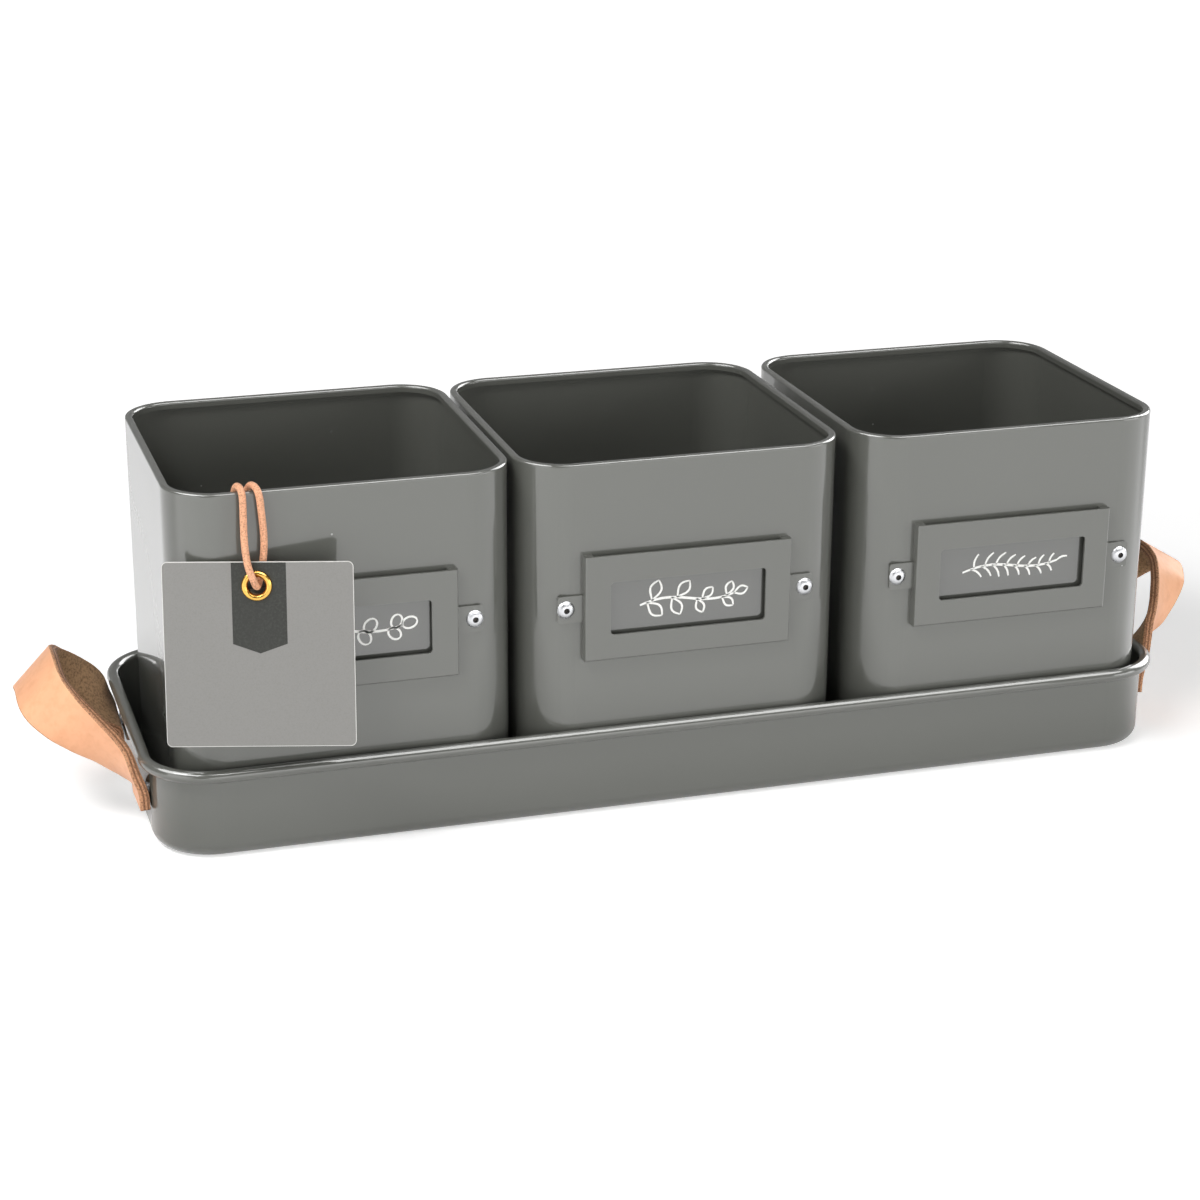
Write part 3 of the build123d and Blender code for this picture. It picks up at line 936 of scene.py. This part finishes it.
def sprigStrokes(sprig):
    chance = random.Random(sprig["seed"])
    leafWeight = printed["leafWeight"]

    def stem(t):
        x = (t - 0.5) * sprig["length"]
        wave = math.sin(t * printed["stemTurn"] + printed["stemStart"])
        return Vector((x, x * printed["stemSlope"] + printed["stemWave"] * wave))

    strokes = [([stem(t) for t in steps(printed["stemPoints"])], 1.0)]
    for index in range(sprig["pairs"]):
        t = printed["firstPair"] + printed["pairSpan"] * index / (sprig["pairs"] - 1)
        base = stem(t)
        heading = (stem(t + 0.01) - base).normalized()
        size = sprig["size"] * (1.0 - printed["taper"] * t) * chance.uniform(*printed["sizes"])
        for turn in (1, -1):
            angle = math.radians(turn * chance.uniform(*printed["angles"]))
            way = Vector(
                (
                    heading.x * math.cos(angle) - heading.y * math.sin(angle),
                    heading.x * math.sin(angle) + heading.y * math.cos(angle),
                )
            )
            start = base + heading * turn * sprig["size"] * printed["stagger"]
            leaf = leafStrokes(sprig["leaf"], start, way, size)
            strokes += [(line, leafWeight) for line in leaf]
    tip = stem(1.0)
    heading = (tip - stem(0.99)).normalized()
    leaf = leafStrokes(sprig["leaf"], tip, heading, sprig["size"] * printed["tipSize"])
    strokes += [(line, leafWeight) for line in leaf]
    return strokes


def buildSprig(row, sprig):
    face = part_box(f"label_card_{row}")[0].y
    low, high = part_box(f"label_holder_{row}")
    middle = Vector(((low.x + high.x) / 2, (low.z + high.z) / 2))
    back = face - printed["lift"]
    front = back - printed["thickness"]
    endWidth, power = printed["endWidth"], printed["swellPower"]

    def build(shape):
        for line, weight in sprigStrokes(sprig):
            count = len(line)
            half = sprig["line"] * weight / 2
            layers = []
            for index, point in enumerate(line):
                before, after = line[max(index - 1, 0)], line[min(index + 1, count - 1)]
                along = (after - before).normalized()
                aside = Vector((-along.y, along.x))
                bulge = math.sin(math.pi * index / (count - 1)) ** power
                swell = half * (endWidth + (1 - endWidth) * bulge)
                corners = []
                for turn in (1, -1):
                    spot = middle + (point + aside * swell * turn) * mm
                    corners.append(shape.verts.new((spot.x, front, spot.y)))
                    corners.append(shape.verts.new((spot.x, back, spot.y)))
                layers.append(corners)
            for first, second in zip(layers, layers[1:]):
                for a, b in ((0, 2), (1, 0), (2, 3), (3, 1)):
                    shape.faces.new((first[a], first[b], second[b], second[a]))
            for end in (layers[0], layers[-1]):
                shape.faces.new((end[0], end[1], end[3], end[2]))

    return build


for row, sprig in sprigs.items():
    name = f"label_sprig_{row}"
    motif = newObject(name, meshFrom(name, buildSprig(row, sprig)))
    motif.data.materials.append(whiteInk)
    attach(motif, f"card_{row}")
print("sprigs printed")

# Floor, daylight round it and lamps
studio = {
    "floorSize": 14.0,
    "floorDrop": 0.0002,
    "floorColour": (0.86, 0.86, 0.86, 1.0),
    # glow seen by the camera, near the tray and a metre away from it
    "floorGlow": (0.5, 1.0),
    "floorGlowReach": (0.1, 1.0),
    # white floor as glossy surfaces see it, a glow only reflections show: painted shade dims it
    # close to the tray and behind it, in metres
    "floorMirror": {
        "strength": 1.4,
        "half": (0.205, 0.069, 0.0),
        "near": 0.15,
        "reach": 0.12,
        "fade": (-0.05, 0.05),
        "rear": 0.33,
    },
    "worldLight": 0.16,
    "mirrorLight": 0.3,
    # lights seen only in glossy surfaces: their directions, the cosine at their rims, strength
    "mirrorBoxes": {
        "directions": [(0.28, -0.31, 0.91), (-0.55, 0.07, 0.82), (0.83, 0.35, 0.43)],
        "rim": 0.94,
        "soft": 0.02,
        "strength": 9.0,
    },
    # place, what it aims at, size and power
    "lamps": {
        "leftBox": ((-1.4, -0.8, 0.42), (0, 0, 0.07), (1.1, 0.8), 7),
        "frontBox": ((0.2, -1.9, 0.32), (0, 0, 0.07), (1.6, 0.6), 10),
        "rightBox": ((1.35, -1.0, 0.32), (0, 0, 0.07), (1.0, 0.6), 9.5),
        "topStrip": ((-0.8, -0.4, 1.15), (0, 0.05, 0.1), (0.9, 0.35), 12),
    },
}


def floorLight(tree, settings):
    mirror = settings["floorMirror"]
    rays = addNode(tree, "ShaderNodeLightPath").outputs
    place = ownPlace(tree)
    folded = vectorNode(tree, "ABSOLUTE", place)
    beyond = vectorNode(tree, "SUBTRACT", folded, mirror["half"])
    beyond = vectorNode(tree, "MAXIMUM", beyond, (0, 0, 0))
    away = vectorNode(tree, "LENGTH", beyond, output="Value")
    depth = addNode(tree, "ShaderNodeSeparateXYZ", {0: place}).outputs["Y"]
    # Painted shade on the floor's reflected glow: dimmer close to the tray and behind it
    close = remap(tree, away, 0.0, mirror["reach"], mirror["near"], 1.0)
    behind = remap(tree, depth, *mirror["fade"], 1.0, mirror["rear"])
    paintedShadeShare = mathNode(tree, "MULTIPLY", close, behind)
    glow = remap(tree, away, *settings["floorGlowReach"], *settings["floorGlow"])
    seen = mathNode(tree, "MULTIPLY", rays["Is Camera Ray"], glow)
    glossy = mathNode(tree, "MULTIPLY", rays["Is Glossy Ray"], mirror["strength"])
    mirrored = mathNode(tree, "MULTIPLY", glossy, paintedShadeShare)
    return mathNode(tree, "ADD", seen, mirrored)


def makeFloor(settings):
    material = bpy.data.materials.new("paleFloor")
    material.use_nodes = True
    tree = material.node_tree
    tree.nodes.clear()
    paper = addNode(tree, "ShaderNodeBsdfDiffuse", {"Color": settings["floorColour"]})
    light = addNode(tree, "ShaderNodeEmission", {"Strength": floorLight(tree, settings)})
    both = addNode(tree, "ShaderNodeAddShader", {0: paper.outputs[0], 1: light.outputs[0]})
    addNode(tree, "ShaderNodeOutputMaterial", {"Surface": both.outputs[0]})
    half = settings["floorSize"] / 2

    def build(shape):
        corners = [(-half, -half, 0), (half, -half, 0), (half, half, 0), (-half, half, 0)]
        shape.faces.new([shape.verts.new(corner) for corner in corners])

    floor = newObject("floor", meshFrom("floor", build))
    floor.location.z = -settings["floorDrop"]
    floor.data.materials.append(material)


def makeWorld(settings):
    world = bpy.data.worlds.new("studio")
    bpy.context.scene.world = world
    world.use_nodes = True
    tree = world.node_tree
    tree.nodes.clear()
    rays = addNode(tree, "ShaderNodeLightPath").outputs
    seen = mathNode(tree, "MAXIMUM", rays["Is Camera Ray"], rays["Is Transmission Ray"])
    plain = remap(tree, seen, 0.0, 1.0, settings["worldLight"], 1.0)
    boxes = settings["mirrorBoxes"]
    heading = addNode(tree, "ShaderNodeTexCoord").outputs["Generated"]
    facing = 0.0
    for way in boxes["directions"]:
        toBox = Vector(way).normalized()
        near = vectorNode(tree, "DOT_PRODUCT", heading, toBox, output="Value")
        facing = mathNode(tree, "MAXIMUM", near, facing)
    edge = (boxes["rim"] - boxes["soft"], boxes["rim"])
    mirrored = remap(tree, facing, *edge, settings["mirrorLight"], boxes["strength"])
    strength = remap(tree, rays["Is Glossy Ray"], 0.0, 1.0, plain, mirrored)
    sky = addNode(tree, "ShaderNodeBackground", {"Color": (1, 1, 1, 1), "Strength": strength})
    addNode(tree, "ShaderNodeOutputWorld", {"Surface": sky.outputs[0]})


def makeLamps(lamps):
    for name, (place, aim, size, power) in lamps.items():
        data = bpy.data.lights.new(name, "AREA")
        data.shape = "RECTANGLE"
        data.size, data.size_y = size
        data.energy = power
        lamp = newObject(name, data)
        lamp.location = place
        away = Vector(place) - Vector(aim)
        lamp.rotation_euler = away.to_track_quat("Z", "Y").to_euler()


makeFloor(studio)
makeWorld(studio)
makeLamps(studio["lamps"])
print("studio lit")

bpy.context.view_layer.update()
